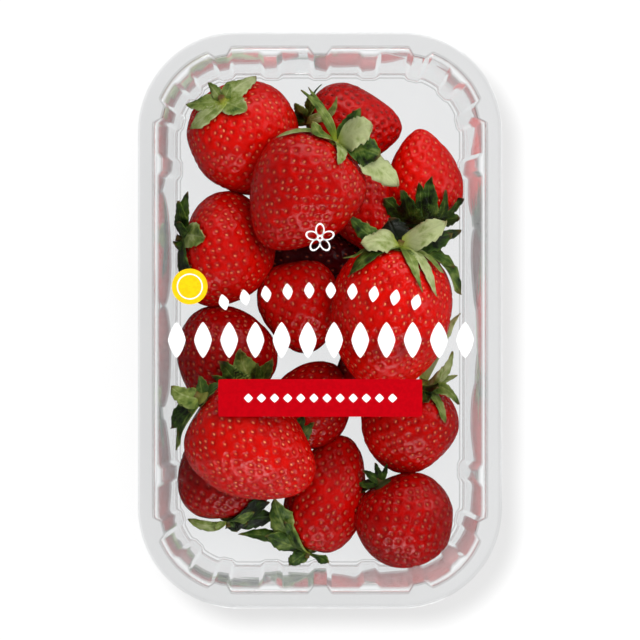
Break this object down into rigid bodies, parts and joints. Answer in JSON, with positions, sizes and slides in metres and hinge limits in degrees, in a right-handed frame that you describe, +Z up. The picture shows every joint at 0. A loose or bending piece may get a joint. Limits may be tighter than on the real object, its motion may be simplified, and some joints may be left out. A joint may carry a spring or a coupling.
{
  "type": "punnet of strawberries",
  "caption": "Clear ribbed plastic punnet with a sealed clear film lid, filled with whole strawberries and their green leaves.",
  "frame": {"origin": "middle of the flat base, on the surface that the punnet stands on", "axes": "+Z up through the film lid, +Y along the long side of the tray, +X across it"},
  "size_m": [0.12, 0.19, 0.0584],
  "materials": {
    "clear_tray": "clear thermoformed sheet, glossy",
    "clear_film": "thin clear film, glossy",
    "berry_skin": "moist glossy fruit skin",
    "berry_seed": "dry golden seed",
    "leaf_green": "fresh leaf, slightly waxy",
    "ink_white": "opaque white ink on film",
    "ink_red": "opaque red ink on film",
    "ink_yellow": "opaque yellow ink on film"
  },
  "bodies": {
    "root": {"tray": "clear_tray", "lid_film": "clear_film", "strawberries": "berry_skin"}
  },
  "joints": []
}
